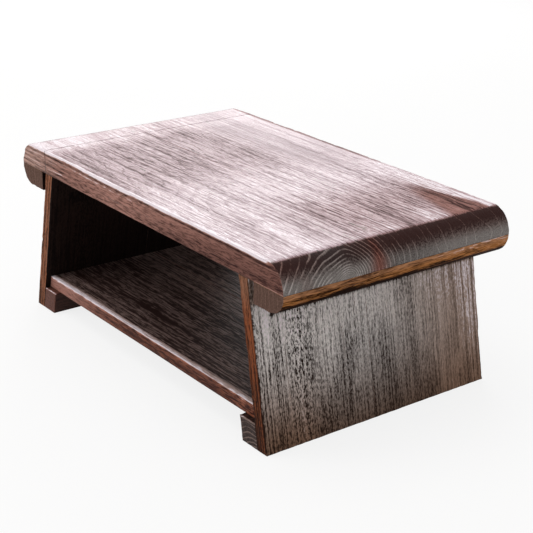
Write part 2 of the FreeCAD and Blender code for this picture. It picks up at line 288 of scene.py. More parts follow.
class LegLean:
    """The slant of a leg and its foot rail: a level shift in proportion to the distance below the top."""

    def __init__(self, side):
        leg_low, leg_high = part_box(("left", "right")[side > 0] + "_leg_front_board")
        self.side = side
        self.height = leg_high[2]
        foot = max(abs(leg_low[0]), abs(leg_high[0]))
        self.rate = (foot - abs(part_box("left_end_board")[1][0])) / self.height

    def upright(self, low, high):
        """The box of the same board if it stood straight below its upper end."""
        outer = self.rate * (self.height - low[2])
        inner = self.rate * (self.height - high[2])
        low, high = low.copy(), high.copy()
        if self.side > 0:
            high[0] -= outer
            low[0] -= inner
        else:
            low[0] += outer
            high[0] += inner
        return low, high

    def slant(self, points):
        """Each point moves out by the slant times its distance below the top."""
        slanted = points.copy()
        slanted[:, 0] += self.side * self.rate * (self.height - points[:, 2])
        return slanted


class ShelfSpread:
    """The shelf's bevelled ends: its length grows downwards as the legs spread."""

    def __init__(self, lean):
        self.height = lean.height
        self.rate = lean.rate

    def upright(self, low, high):
        """The box of the same board if the legs stood straight."""
        spread = self.rate * (self.height - low[2])
        low, high = low.copy(), high.copy()
        low[0] += spread
        high[0] -= spread
        self.half = high[0]
        return low, high

    def slant(self, points):
        """Each point moves out in proportion to its distance from the middle."""
        slanted = points.copy()
        slanted[:, 0] *= 1 + self.rate * (self.height - points[:, 2]) / self.half
        return slanted


def vertex_normals(points, faces):
    """Unit normals: each quad's crossed diagonals are added to its four corners."""
    cross = np.cross(points[faces[:, 2]] - points[faces[:, 0]], points[faces[:, 3]] - points[faces[:, 1]])
    total = np.zeros_like(points)
    for corner in range(4):
        np.add.at(total, faces[:, corner], cross)
    return total / np.maximum(np.linalg.norm(total, axis=1, keepdims=True), TINY_AREA)


def ring_field(grain):
    """Growth rings round the pith: the count is a first number plus a rate times the logarithm of one plus
    the distance over a starting distance, and wanders a little; the spacing is its slope turned over. Far
    from the pith, the rings near the ends of the long boards are half as strong."""
    distance = np.hypot(grain[:, 1], grain[:, 2])
    wide, fine = RING_SEEDS
    wander = 0.22 * ripple(grain * (0.16, 1, 1), 42 * MM, wide)
    wander += 0.05 * ripple(grain * (0.2, 1, 1), 11 * MM, fine)
    count = RING_RATE * np.log1p(distance / RING_START) + wander + RING_FIRST
    spacing = (distance + RING_START) / RING_RATE
    strength = 1 - 0.5 * ramp(distance, 60 * MM, 110 * MM) * ramp(np.abs(grain[:, 0]), 250 * MM, 290 * MM)
    return count, spacing, strength


def edge_distance(points, low, high, square):
    """How far a place on a box is from the nearest edge: for each pair of axes the larger of its gaps to the
    sides, and of the pairs the smallest. The sharp or rolled edge between the square axes doesn't count."""
    gap = np.minimum(points - low, high - points)
    pairs = [pair for pair in ((0, 1), (0, 2), (1, 2)) if pair != square]
    return np.minimum.reduce([np.maximum(gap[:, first], gap[:, second]) for first, second in pairs])


def edge_wear(points, inner, low, high, arris, joints):
    """Wear is 1 within a fifth of an arris radius from an edge, and falls to 0 by a smooth step whose width
    wanders round 1.6 radii. Beside the glue joints it dies out."""
    wander = 1 + 0.8 * ripple(points, 17 * MM, WEAR_SEED)
    wear = 1 - ramp(inner, 0.2 * arris, 1.6 * arris * np.maximum(wander, 0.15))
    for axis, side in joints:
        away = np.abs(points[:, axis] - (low, high)[side][axis])
        wear = wear * ramp(away, 1.5 * MM, 6 * MM)
    return wear


def brushed_depth(points, grain, count, wear):
    """How far the brushed face lies inside the sawn one: a cosine wave over each growth ring and a random
    wave drawn out along the grain, which both end at the worn edges, and chips out of those edges."""
    depth = RING_RELIEF * (0.5 + 0.5 * np.cos(2 * np.pi * count))
    depth += WAVE_RELIEF * (1 + 0.5 * ripple(grain * (0.2, 1, 1), 22 * MM, WAVE_SEED))
    chips = CHIP_RELIEF * wear * np.maximum(ripple(points, 14 * MM, CHIP_SEED) - 0.4, 0)
    return np.maximum(depth, 0) * (1 - wear) + chips


def triple(count, *parts):
    """Three numbers or fields as one vector for each of so many points."""
    return np.stack([np.broadcast_to(part, count) for part in parts], -1)


def finish_piece(name, points, faces, attributes, material):
    """A smooth mesh object with its named vector attributes."""
    mesh = bpy.data.meshes.new(name)
    mesh.from_pydata(points.tolist(), [], faces.tolist())
    mesh.polygons.foreach_set("use_smooth", np.ones(len(faces), bool))
    for key, values in attributes.items():
        layer = mesh.attributes.new(key, "FLOAT_VECTOR", "POINT")
        layer.data.foreach_set("vector", np.ascontiguousarray(values, np.float32).ravel())
    mesh.update()
    piece = bpy.data.objects.new(name, mesh)
    bpy.context.scene.collection.objects.link(piece)
    piece.data.materials.append(material)
    return piece


def board(node, material, axes, pith, arris, joints, paint, square=(), bend=None, lean=None):
    """A board in place of its node. axes are the along, across and through directions of the grain, and pith
    turns places in the board into places round the middle of its log. joints are the sides with a hairline
    instead of a worn edge. paint gives how pale, burnt and shaded, warm, pitted, streaked and lined each
    place is; the shade of hidden faces is painted. The edge between the square axes stays sharp, bend rounds
    the outline, and lean slants the board with its grain."""
    low, high = (np.array(corner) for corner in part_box(node))
    if lean:
        low, high = lean.upright(low, high)
    fine = [[arris, arris] for _ in range(3)]
    for axis, side in joints:
        fine[axis][side] = 2 * JOINT_ARRIS
    steps = [ACROSS_STEP, ACROSS_STEP, ACROSS_STEP]
    steps[axes[0]] = LONG_STEP
    points, faces = lattice(*(marks(low[k], high[k], steps[k], *fine[k]) for k in range(3)))
    inner = edge_distance(points, low, high, square)
    points = ease(points, low, high, arris, joints, square)
    if bend:
        points = bend(points)
    normals = vertex_normals(points, faces)
    grain = points[:, axes]
    rings = ring_field(pith(*grain.T))
    end = ramp(np.abs(normals[:, axes[0]]), 0.10, 0.48)
    edge = ramp(np.abs(normals[:, axes[1]]), 0.75, 1.0)
    wear = edge_wear(points, inner, low, high, arris, joints)
    pale, burnt_and_shaded, warm, pitted, streaked, lined = paint(points, normals)
    points = points - normals * brushed_depth(points, grain, rings[0], wear)[:, None]
    if lean:
        points = lean.slant(points)
    count = len(points)
    attributes = {
        "grain": grain,
        "facing": triple(count, end, edge, wear),
        "paint": triple(count, pale, burnt_and_shaded, warm),
        "rings": triple(count, *rings),
        "figure": triple(count, pitted, streaked, lined),
    }
    return finish_piece(node + "_wood", points, faces, attributes, material)


# Materials

# Nearly black colours for burnt wood and for the painted shade of hidden faces
BURNT_AND_SHADED = (srgb(16, 9, 8), srgb(36, 24, 21))
# Nearly white for the palest worn places and for painted highlights and sheen
WEAR_AND_HIGHLIGHT_WHITE = srgb(232, 219, 224)


class Shader:
    """A material that is put together node by node, from sockets and plain values."""

    def __init__(self, name):
        self.material = bpy.data.materials.new(name)
        self.material.use_nodes = True
        self.tree = self.material.node_tree
        self.tree.nodes.clear()

    def node(self, kind, *values, out=0, **settings):
        """Add a node, fill its inputs in order, where None leaves one alone, and return one output."""
        node = self.tree.nodes.new(kind)
        for key, value in settings.items():
            setattr(node, key, value)
        for socket, value in zip(node.inputs, values):
            self.fill(socket, value)
        return node.outputs[out]

    def fill(self, socket, value):
        """Link a socket or set its value."""
        if isinstance(value, bpy.types.NodeSocket):
            self.tree.links.new(value, socket)
        elif value is not None:
            socket.default_value = value

    def math(self, operation, *values):
        """One arithmetic step."""
        return self.node("ShaderNodeMath", *values, operation=operation)

    def offset(self, value, gain, base):
        """A value around a half, times a gain, added to a base."""
        return self.math("MULTIPLY_ADD", self.math("SUBTRACT", value, 0.5), gain, base)

    def lerp(self, share, first, second):
        """A number between two numbers."""
        return self.math("MULTIPLY_ADD", self.math("SUBTRACT", second, first), share, first)

    def object_place(self):
        """The place on the object, in its own coordinates."""
        return self.node("ShaderNodeTexCoord", out="Object")

    def split(self, name):
        """A vector attribute and its three numbers."""
        vector = self.node(
            "ShaderNodeAttribute", out="Vector", attribute_type="GEOMETRY", attribute_name=name
        )
        parts = self.tree.nodes.new("ShaderNodeSeparateXYZ")
        self.tree.links.new(vector, parts.inputs[0])
        return vector, parts.outputs

    def noise(self, vector, factors, detail=2.0, roughness=0.5):
        """Smooth noise around a half, at so many features a metre along each direction."""
        place = self.node("ShaderNodeVectorMath", vector, factors, operation="MULTIPLY")
        return self.node("ShaderNodeTexNoise", place, None, 1.0, detail, roughness)

    def step(self, value, low, high, start=0.0, end=1.0):
        """Smooth step of a value from start at low to end at high."""
        return self.node("ShaderNodeMapRange", value, low, high, start, end, interpolation_type="SMOOTHSTEP")

    def blend(self, share, first, second):
        """A colour between two colours."""
        node = self.tree.nodes.new("ShaderNodeMix")
        node.data_type = "RGBA"
        self.fill(node.inputs[MIX_SHARE], share)
        self.fill(node.inputs[MIX_FIRST], first)
        self.fill(node.inputs[MIX_SECOND], second)
        return node.outputs[2]

    def bump(self, height, distance, strength=1.0):
        """A normal that follows a height."""
        bump = self.tree.nodes.new("ShaderNodeBump")
        bump.inputs["Strength"].default_value = strength
        bump.inputs["Distance"].default_value = distance
        self.tree.links.new(height, bump.inputs["Height"])
        return bump.outputs[0]

    def output(self, shader):
        """Close the material with a shader's output."""
        output = self.tree.nodes.new("ShaderNodeOutputMaterial")
        self.tree.links.new(shader, output.inputs[0])
        return self.material

    def surface(self, colour, roughness, normal, **sockets):
        """The closing shader; named sockets are set on the shader itself."""
        shader = self.tree.nodes.new("ShaderNodeBsdfPrincipled")
        self.fill(shader.inputs["Base Color"], colour)
        self.fill(shader.inputs["Roughness"], roughness)
        self.fill(shader.inputs["Normal"], normal)
        for key, value in sockets.items():
            shader.inputs[key.replace("_", " ")].default_value = value
        return self.output(shader.outputs[0])


def ring_lines(shader, grain):
    """Growth rings: the wood darkens slowly over each ring and closes it with a narrow late-wood line, which
    rises over a real width before each whole count, falls sharply behind it, and is faint in places."""
    _, (count, spacing, strength) = shader.split("rings")
    count = shader.offset(shader.noise(grain, RING_TREMBLE), 0.16, count)
    part = shader.math("FRACT", count)
    before = shader.math("MULTIPLY", shader.math("SUBTRACT", 1.0, part), spacing)
    behind = shader.math("MULTIPLY", part, spacing)
    line = shader.step(before, *LATE_WOOD_RISE, 1.0, 0.0)
    line = shader.math("MAXIMUM", line, shader.step(behind, *LATE_WOOD_FALL, 1.0, 0.0))
    unbroken = shader.step(shader.noise(grain, RING_BREAKS), 0.32, 0.60, 0.2, 1.0)
    line = shader.math("MULTIPLY", line, unbroken)
    slow = shader.math("MULTIPLY", part, part)
    return shader.math("MULTIPLY", line, strength), shader.math("MULTIPLY", slow, strength)


def brushed_wood(name, palette, fibre, cover, gloss):
    """Burnt and wire-brushed paulownia. palette holds a dark and a pale colour for the broad faces, the
    narrow edges, the end grain and the warm places. fibre gives the count a metre, along and across the
    grain, of the long grooves and of the short flecks, and how far they sway. cover says how much of the pale
    colour each pattern brings. gloss holds the roughness, its fall with paleness, its rise with warmth, the
    depth of the bump and the specular level. Burnt places, and hidden faces where shade is painted, are
    nearly black, and the palest places, worn edges and painted highlights and sheen, are nearly white."""
    shader = Shader(name)
    grain, _ = shader.split("grain")
    _, (end, edge, wear) = shader.split("facing")
    _, (pale, burnt_and_shaded, warm) = shader.split("paint")
    _, (pits, streaks, lined) = shader.split("figure")

    line, slow = ring_lines(shader, grain)
    sway = shader.offset(shader.noise(grain, FIBRE_SWAY), fibre["sway"], 0.0)
    sway = shader.node("ShaderNodeCombineXYZ", 0.0, sway, sway)
    grain = shader.node("ShaderNodeVectorMath", grain, sway, operation="ADD")
    along, across = fibre["groove"]
    groove = shader.noise(grain, (along, across, across), roughness=0.6)
    along, across = fibre["fleck"]
    fleck = shader.noise(grain, (along, across, across), roughness=0.6)
    band = shader.noise(grain, COLOUR_BANDS)
    ragged = shader.offset(fleck, 0.8, shader.offset(groove, 1.8, 0.0))
    groove = shader.step(groove, *cover["groove_cut"])
    fleck = shader.step(fleck, *cover["fleck_cut"])

    streaks = shader.math("MULTIPLY", streaks, shader.lerp(edge, cover["groove"], cover["edge_groove"]))
    share = shader.offset(groove, streaks, cover["base"])
    pitting = shader.math("MULTIPLY_ADD", pits, cover["pits"], cover["fleck"])
    share = shader.offset(fleck, pitting, share)
    share = shader.offset(band, cover["band"], share)
    ringed = shader.math("MULTIPLY", line, lined)
    share = shader.math("MULTIPLY_ADD", ringed, shader.lerp(edge, cover["ring"], cover["edge_ring"]), share)
    slow = shader.math("MULTIPLY", slow, lined)
    share = shader.math("MULTIPLY_ADD", slow, shader.lerp(edge, cover["slow"], cover["edge_slow"]), share)
    end_share = shader.math("MULTIPLY_ADD", ringed, cover["end_ring"], cover["end_base"])
    end_share = shader.offset(fleck, cover["end_fleck"], end_share)
    end = shader.step(shader.math("ADD", end, ragged), 0.30, 0.50)
    edge = shader.step(shader.math("ADD", edge, ragged), 0.30, 0.60)
    share = shader.offset(pale, cover["pale"], shader.lerp(end, share, end_share))
    share = shader.math("MULTIPLY_ADD", wear, cover["wear"], share)
    # Shares beyond 1, from worn edges and from painted highlights and sheen, whiten the colour
    wear_and_highlight = shader.step(share, 1.0, 1.6)
    share = shader.node("ShaderNodeClamp", share, 0.0, 1.0)

    pair = []
    for tone in (0, 1):
        colour = shader.blend(edge, palette["broad"][tone], palette["edge"][tone])
        colour = shader.blend(end, colour, palette["end"][tone])
        pair.append(shader.blend(warm, colour, palette["warm"][tone]))
    colour = shader.blend(wear_and_highlight, shader.blend(share, *pair), WEAR_AND_HIGHLIGHT_WHITE)
    # Burnt places and the painted shade of hidden faces go nearly black
    colour = shader.blend(burnt_and_shaded, colour, shader.blend(share, *BURNT_AND_SHADED))

    height = shader.math("MULTIPLY_ADD", line, 0.5, shader.math("MULTIPLY", groove, 0.5))
    height = shader.math("MULTIPLY_ADD", fleck, 0.3, height)
    roughness = shader.offset(share, -gloss["pale_fall"], gloss["base"])
    roughness = shader.math("MULTIPLY_ADD", warm, gloss["warm_rise"], roughness)
    normal = shader.bump(height, gloss["bump"])
    return shader.surface(colour, roughness, normal, Specular_IOR_Level=gloss["specular"])


# The pale broad colour of the top, with its faint mauve tint, carries part of a painted sheen
top_wood = brushed_wood(
    "brushed_top_wood",
    {
        "broad": (srgb(58, 22, 17), srgb(182, 154, 161)),
        "edge": (srgb(50, 24, 16), srgb(166, 124, 109)),
        "end": (srgb(26, 9, 6), srgb(158, 150, 145)),
        "warm": (srgb(48, 16, 10), srgb(152, 98, 85)),
    },
    {"groove": (6, 300), "fleck": (70, 620), "sway": 9 * MM},
    {"groove_cut": (0.36, 0.58), "groove": 0.50, "edge_groove": 0.26, "fleck_cut": (0.38, 0.58),
     "fleck": 0.34, "pits": 0.25, "band": 0.7, "base": 0.50, "pale": 1.0, "ring": -0.16, "edge_ring": 0.90,
     "slow": -0.06, "edge_slow": -0.45, "end_ring": 0.72, "end_base": 0.14, "end_fleck": 0.24, "wear": 0.12},
    {"base": 0.46, "pale_fall": 0.34, "warm_rise": 0.36, "bump": 0.50 * MM, "specular": 0.25},
)
cleat_wood = brushed_wood(
    "brushed_cleat_wood",
    {
        "broad": (srgb(22, 9, 4), srgb(58, 30, 12)),
        "edge": (srgb(32, 12, 2), srgb(182, 120, 68)),
        "end": (srgb(64, 46, 40), srgb(128, 100, 88)),
        "warm": (srgb(84, 56, 40), srgb(184, 132, 96)),
    },
    {"groove": (18, 330), "fleck": (70, 700), "sway": 6 * MM},
    {"groove_cut": (0.42, 0.58), "groove": 0.50, "edge_groove": 0.44, "fleck_cut": (0.42, 0.58),
     "fleck": 0.50, "pits": 0.0, "band": 0.5, "base": 0.30, "pale": 1.0, "ring": 0.1, "edge_ring": 0.1,
     "slow": 0.0, "edge_slow": 0.0, "end_ring": 0.34, "end_base": 0.34, "end_fleck": 0.25, "wear": 0.15},
    {"base": 0.62, "pale_fall": 0.12, "warm_rise": 0.0, "bump": 0.30 * MM, "specular": 0.02},
)
leg_wood = brushed_wood(
    "brushed_leg_wood",
    {
        "broad": (srgb(34, 20, 15), srgb(218, 210, 206)),
        "edge": (srgb(34, 12, 2), srgb(152, 82, 46)),
        "end": (srgb(38, 26, 22), srgb(86, 70, 62)),
        "warm": (srgb(40, 26, 18), srgb(138, 106, 86)),
    },
    {"groove": (3, 400), "fleck": (240, 520), "sway": 5 * MM},
    {"groove_cut": (0.38, 0.61), "groove": 0.30, "edge_groove": 0.75, "fleck_cut": (0.40, 0.60),
     "fleck": 0.30, "pits": 0.66, "band": 0.3, "base": 0.42, "pale": 0.9, "ring": 0.10, "edge_ring": 0.0,
     "slow": 0.0, "edge_slow": 0.0, "end_ring": 0.4, "end_base": 0.2, "end_fleck": 0.4, "wear": -0.25},
    {"base": 0.50, "pale_fall": 0.15, "warm_rise": 0.2, "bump": 0.35 * MM, "specular": 0.05},
)
rail_wood = brushed_wood(
    "brushed_rail_wood",
    {
        "broad": (srgb(30, 19, 16), srgb(80, 57, 50)),
        "edge": (srgb(28, 17, 15), srgb(74, 50, 44)),
        "end": (srgb(32, 22, 22), srgb(128, 108, 100)),
        "warm": (srgb(36, 20, 15), srgb(122, 78, 66)),
    },
    {"groove": (7, 300), "fleck": (60, 600), "sway": 4 * MM},
    {"groove_cut": (0.38, 0.60), "groove": 0.35, "edge_groove": 0.21, "fleck_cut": (0.38, 0.60),
     "fleck": 0.25, "pits": 0.0, "band": 0.4, "base": 0.40, "pale": 0.9, "ring": 0.2, "edge_ring": 0.2,
     "slow": 0.0, "edge_slow": 0.0, "end_ring": 0.80, "end_base": 0.42, "end_fleck": 0.2, "wear": 0.15},
    {"base": 0.50, "pale_fall": 0.12, "warm_rise": 0.0, "bump": 0.25 * MM, "specular": 0.08},
)
shelf_wood = brushed_wood(
    "brushed_shelf_wood",
    {
        "broad": (srgb(36, 19, 16), srgb(174, 147, 139)),
        "edge": (srgb(50, 14, 3), srgb(156, 93, 68)),
        "end": (srgb(36, 24, 22), srgb(90, 72, 66)),
        "warm": (srgb(66, 38, 32), srgb(166, 122, 112)),
    },
    {"groove": (6, 320), "fleck": (70, 640), "sway": 8 * MM},
    {"groove_cut": (0.38, 0.58), "groove": 0.42, "edge_groove": 0.25, "fleck_cut": (0.38, 0.60),
     "fleck": 0.34, "pits": 0.6, "band": 0.5, "base": 0.34, "pale": 1.0, "ring": 0.1, "edge_ring": 0.2,
     "slow": 0.0, "edge_slow": -0.1, "end_ring": 0.3, "end_base": 0.3, "end_fleck": 0.3, "wear": 0.65},
    {"base": 0.50, "pale_fall": 0.16, "warm_rise": 0.0, "bump": 0.30 * MM, "specular": 0.12},
)


def dowel_beech():
    """Bare beech: straight pale grain with short dark flecks."""
    shader = Shader("bare_beech")
    place = shader.object_place()
    grain = shader.noise(place, (700, 700, 60), 3.0, 0.6)
    fleck = shader.noise(place, (1500, 1500, 300))
    share = shader.math("MULTIPLY_ADD", shader.step(fleck, 0.58, 0.68), -0.4, shader.step(grain, 0.35, 0.65))
    colour = shader.blend(share, srgb(176, 132, 92), srgb(216, 180, 138))
    return shader.surface(colour, 0.6, shader.bump(grain, 0.1 * MM), Specular_IOR_Level=0.35)


def zinc_steel():
    """Zinc-plated steel with a faint yellow cast and a fine even texture."""
    shader = Shader("zinc_plated_steel")
    place = shader.object_place()
    texture = shader.noise(place, (2500, 2500, 2500), 3.0, 0.6)
    cast = shader.noise(place, (160, 160, 160))
    colour = shader.blend(cast, srgb(176, 170, 150), srgb(206, 202, 192))
    roughness = shader.offset(texture, 0.25, 0.34)
    return shader.surface(colour, roughness, shader.bump(texture, 0.05 * MM, 0.5), Metallic=1.0)


# Paint of the pieces: x, y and z are in millimetres, and each paint is a sum of smooth steps and bumps

def turned_aside(normals):
    """The share of a place that faces the front or the back."""
    return ramp(np.abs(normals[:, 1]), 0.5, 0.9)


def turned_down(normals):
    """The share of a place that faces the floor."""
    return ramp(-normals[:, 2], 0.5, 0.9)


def turned_inwards(x, normals):
    """The share of a place that faces the middle of the table."""
    return ramp(-np.sign(x) * normals[:, 0], 0.3, 0.8)


def top_face(points, x, y):
    """How pale and warm the upper face is, and what it adds to the pits and streaks. It is palest in front
    on the right, along the front edge, at the left end and behind on the left; this paleness is partly the
    brushed wood's own tone and partly painted sheen. Behind on the right it is duller, with less painted
    sheen, and a dark reddish wedge with a ragged border widens towards the corner, in front of a pale strip
    along the back edge. The left end and the rear left part are smooth, with a tan line behind."""
    right_half = ramp(x, -80, 70)
    left_end = ramp(-x, 212, 240) * (0.25 + 0.75 * ramp(-y, 40, 120))
    less_sheen = ramp(x, 85, 190) * ramp(y, -110, 10)
    ragged = y + 4 * ripple(points * (0.2, 1, 1), 26 * MM, RAGGED_SEED)
    strip = ramp(ragged - np.interp(x, STRIP_X, STRIP_Y), -6, 6)
    wedge = ramp(x, 140, 210) * ramp(ragged + 0.25 * x, 157, 177) * (1 - strip)
    rear = ramp(y, 45, 105) * (1 - ramp(x, -20, 110))
    rear_lift = (0.40 - 0.36 * ramp(-x, 200, 240)) * ramp(y, 45, 105) * (1 - ramp(x, -130, 50))
    back_arris = ramp(y, 167, 170) * (1 - ramp(x, 0, 110))
    front_sheen = ramp(-y, 162, 171) * (1 - 0.8 * ramp(x, 90, 200))
    front_streak = ramp(x, 150, 220) * bell(y, -132, 16)
    back_line = ramp(x, 190, 250) * ramp(y, 157, 168)
    rear_patch = ramp(x, 200, 250) * bell(y, 84, 26)

    # Part of this paleness is painted sheen: more to the right and towards and at the left end
    pale = 0.58 + 0.34 * right_half - 0.04 * ramp(x, 150, 260) + 0.12 * ramp(x, 225, 260)
    pale += 0.34 * ramp(-x, 195, 230) + 0.42 * left_end
    # Less painted sheen behind on the right, except on the pale strip
    pale += 0.50 * strip * less_sheen - 0.24 * less_sheen - 0.25 * wedge - 0.14 * ramp(y, 20, 100) * (1 - strip)
    pale += rear_lift - 0.32 * back_arris + 0.22 * back_line + 0.32 * rear_patch
    # A painted sheen beside the front arris, strongest on the left
    pale += 0.14 * front_sheen + 0.10 * front_streak
    warm = 0.32 * less_sheen + 0.60 * wedge + 0.15 * (1 - right_half)
    warm = warm * (1 - rear) + 0.5 * back_arris
    pitted = -np.maximum(0.8 * left_end, rear)
    streaked = 0.6 * less_sheen - np.maximum(0.6 * left_end, 0.8 * rear)
    return pale, warm, pitted, streaked


def top_edge(x, z, sway):
    """How pale and warm the long edges are. They grow darker and redder to the right. A painted shadow line
    runs under the arris with a pale ridge below it, and both sway. Stripes of a cosine wave show near the
    left end, and a thin pale seam low down near the right end."""
    starts = ramp(x, -230, -190)
    # A painted shadow line under the arris
    shadow_line = bell(z - 0.4 * sway, SHADOW_LINE_Z, 1.5) * starts
    ridge = bell(z - 0.6 * sway, RIDGE_Z, 1.2) * (0.35 + 0.65 * bell(x, -110, 80)) * starts
    stripes = np.cos(2 * np.pi * (z + 0.8 * sway) / 6.4) * ramp(-x, 130, 205)
    seam = bell(z, SEAM_Z, 0.6) * ramp(x, 244, 250)
    pale = np.interp(x, EDGE_X, EDGE_PALE) - 0.45 * shadow_line + 0.60 * ridge + 0.34 * stripes + 0.7 * seam
    warm = 0.6 * ramp(x, -270, -170) + 0.15 * ramp(x, -60, 200)
    return pale, warm * (1 - 0.8 * seam) * (1 - 0.6 * ridge)


def top_end(y, z):
    """How pale and warm the end grain is. It is dark on the crest and paler below, most on the arch of the
    rings, towards the back and at the front corner; the paleness below and on the arch is painted sheen. The
    crest, the top of the front corner and a streak behind the arch are reddish."""
    low = ramp(-z, -236, -214)
    arch = bell(y, -98, 36)
    corner = ramp(-y, 125, 158)
    red_streak = bell(y, -36, 13)
    # Painted sheen: the end grain is paler low down and most on the arch of the rings
    pale = 0.20 + 0.46 * low + (0.18 * low - 0.02) * arch + (0.04 + 0.12 * low) * corner
    pale += (0.02 + 0.20 * low) * ramp(y, 10, 90) + 0.12 * red_streak
    warm = np.maximum(red_streak, 0.7 * (1 - low) * (1 - 0.7 * arch))
    return pale, np.maximum(warm, 0.7 * corner) * (1 - low * corner)


def top_paint(points, normals):
    """The upper face, the long edges and the rounded ends have their own paint, mixed by where a place faces.
    A white highlight is painted on the front arris between the ends, the joint of the left end board is dark,
    and the underside is burnt and painted in shade. Clear rings show in the long edges only near the left
    end, and pits in their middle."""
    x, y, z = points.T / MM
    sway = 1.4 * ripple(points * (1, 0, 0), 80 * MM, SWAY_SEED)
    edge = turned_aside(normals)
    end = ramp(np.abs(normals[:, 0]), 0.12, 0.32)
    face = (1 - edge) * (1 - end)
    face_pale, face_warm, face_pitted, face_streaked = top_face(points, x, y)
    edge_pale, edge_warm = top_edge(x, z, sway)
    end_pale, end_warm = top_end(y, z)

    # A painted white highlight along the front arris, between the ends
    front_arris_highlight = ramp(-y, 171.5, 173.5) * ramp(z - 0.4 * sway, 235.4, 237.6)
    front_arris_highlight = front_arris_highlight * ramp(x, -288, -274) * ramp(-x, -276, -262)
    pale = mix(front_arris_highlight, mix(edge, face_pale, edge_pale), ARRIS_HIGHLIGHT_PALE)
    pale = mix(end, pale - 0.55 * bell(x, BUTT_JOINT_X, 0.8), end_pale)
    warm = (face_warm * face + end_warm * end + edge_warm * edge * (1 - end)) * (1 - front_arris_highlight)
    pitted = edge * bell(x, -60, 110) + face_pitted * face
    streaked = 1 + face_streaked * face - 0.5 * edge * ramp(x, 0, 200)
    lined = 1 - 1.15 * edge * (1 - ramp(-x, 130, 215))
    return pale, turned_down(normals), warm, pitted, streaked, lined


def cleat_paint(points, normals):
    """The outer face is golden, paler to the back and at the front corner and darker below, where painted
    shade marks the turn under, with a pale border under the top; the front and back faces are even, and the
    face towards the leg and the underside are burnt and painted in shade."""
    x, y, z = points.T / MM
    border = ramp(z, 197, 204)
    low = ramp(-normals[:, 2], 0.50, 0.85)
    end = turned_aside(normals)
    # Darker where the round turns under: painted shade
    pale = 0.32 + 0.50 * ramp(y, -80, 160) + 0.22 * ramp(-y, 120, 165) + 0.26 * border - 0.34 * low
    # The face towards the leg and the underside are burnt, and painted in shade
    burnt_and_shaded = np.maximum(turned_inwards(x, normals), 0.75 * ramp(-normals[:, 2], 0.8, 1.0))
    return mix(end, pale, 0.5), burnt_and_shaded, 0.8 * border * (1 - end), 0.0, 1.0, 1.0


def leg_paint(points, normals):
    """The outer face grows paler upwards, most at the front and the back, with soft clouds. Pits show in
    front and above, most in a line near the front edge, and streaks towards both edges. The face is brown at
    the foot, towards the back and behind the cleat, and has a painted shadow just below the cleat. The inner
    face is nearly black, burnt and painted in shade. The narrow edges are even on the left leg and darken
    downwards on the right one."""
    x, y, z = points.T / MM
    up = ramp(z, 0, 120)
    high = ramp(z, 80, 190)
    middle = ramp(z, 95, 130)
    behind_cleat = ramp(z, 172, 179)
    front = ramp(-y, 40, 150)
    side = np.abs(y)

    pale = 0.38 + 0.22 * up + 0.34 * ramp(z, 90, 190) + 0.05 * high
    pale += front * (0.09 * (1 - 2 * ramp(z, 40, 110)) + 0.06 * up + 0.14 * high)
    pale += 0.30 * ramp(y, 50, 130) * (0.85 + 0.25 * up - 0.43 * high)
    pale += 0.05 * middle * bell(y, -36, 50) - 0.12 * (1 - middle) * bell(y, 0, 60)
    pale += 0.10 * ripple(points * (1, 1, 0.4), 42 * MM, CLOUD_SEED)
    # A painted shadow just below the cleat, fading out towards the front edge
    shade = ramp(z, 157, 160.5) * (1 - ramp(z, 175, 178)) * ramp(y, -158, -138)
    pale = pale * (1 - 0.85 * shade)
    warm = 1 - (1 - 0.78 * ramp(y, -20, 150)) * ramp(z - 24 * front, -24, 106)
    warm = np.maximum(warm, 0.8 * behind_cleat)
    pitted = bell(y, -116, 16) * (0.5 + 0.3 * up) + 0.3 * ramp(-y, -20, 120) + 0.35 * high
    streaked = 1.1 + 0.4 * ramp(side, 40, 100) + ramp(side, 126, 148) + 0.6 * high

    edge = turned_aside(normals)
    edge_pale = np.where(x < 0, 0.62, 0.60 * ramp(z, 20, 220) - 0.03)
    edge_warm = np.where(x < 0, 0.35, 0.6 * ramp(z, 150, 200))
    pale = mix(edge, pale, edge_pale)
    warm = mix(edge, warm, edge_warm)
    return pale, turned_inwards(x, normals), warm, pitted * (1 - edge), mix(edge, streaked, 1.0), 1.0


def rail_paint(points, normals):
    """Browner on the left rail, dark and ringed on the right one; the inner sides are burnt and painted in
    shade, and the upper front arris has a painted pale highlight."""
    x, y, z = points.T / MM
    left = np.where(x < 0, 1.0, 0.0)
    # A painted highlight along the upper front arris
    highlit_arris = ramp(z, 29.5, 31) * ramp(-y, 172.5, 174)
    pale = 0.18 + 0.38 * left + 0.8 * highlit_arris
    # The inner sides are burnt, and painted in shade
    burnt_and_shaded = 0.7 * turned_inwards(x, normals) * (1 - highlit_arris)
    return pale, burnt_and_shaded, left, 0.0, 1.0, 1 - 0.8 * left


def shelf_paint(points, normals):
    """The edge is paler and pinker to the left and flecked near the right end; the upper face is dark behind
    a front border with a painted pale highlight, more so at the left, and the underside is burnt and painted
    in shade."""
    x, y, _ = points.T / MM
    upper = ramp(normals[:, 2], 0.5, 0.9)
    flecked = ramp(x, 110, 190) * (1 - upper)
    pink = ramp(-x, 20, 200) * (1 - upper)
    # A painted highlight along the front border of the upper face
    highlit_arris = ramp(-y, 157.5, 162.5) * (1 - 0.3 * ramp(x, -60, 160))
    edge_pale = 0.72 - 0.46 * ramp(x, -210, 20) + 0.18 * ramp(-x, 140, 210)
    edge_pale += 0.14 * flecked - 0.06 * ramp(x, 60, 160)
    upper_pale = 0.20 + 0.10 * ramp(y, -120, 0) + 1.25 * highlit_arris
    return mix(upper, edge_pale, upper_pale), turned_down(normals), 0.7 * pink, flecked, 1.0, 1.0


# Pieces

